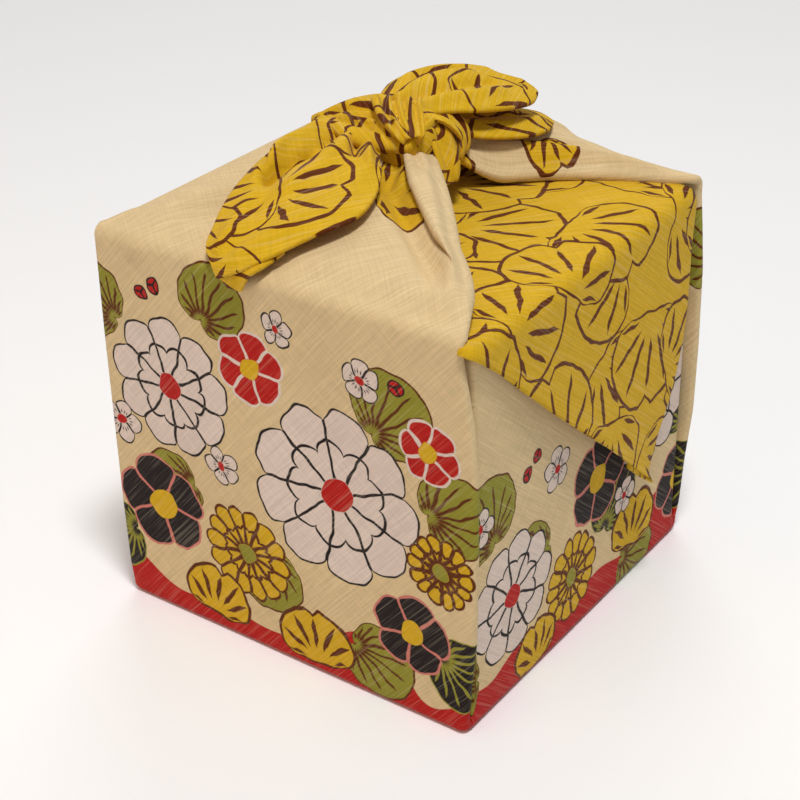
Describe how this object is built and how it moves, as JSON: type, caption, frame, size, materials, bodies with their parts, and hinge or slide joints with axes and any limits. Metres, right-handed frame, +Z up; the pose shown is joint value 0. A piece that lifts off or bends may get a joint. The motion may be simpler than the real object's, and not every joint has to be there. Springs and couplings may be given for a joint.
{
  "type": "furoshiki wrap",
  "caption": "Square cotton wrapping cloth folded round a cube-shaped gift and tied on top in a knot with loose ears, its last corner hanging down a side as a pointed flap.",
  "frame": {"origin": "middle of the flat underside, on the surface that the wrap stands on", "axes": "+Z up; +X is the side with the hanging flap; -Y is the front, over which the left ear of the knot lies"},
  "size_m": [0.1581, 0.158, 0.1851],
  "materials": {
    "printed_cotton": "matt printed slub-weave cotton"
  },
  "bodies": {
    "root": {"wrap_cloth": "printed_cotton"}
  },
  "joints": []
}
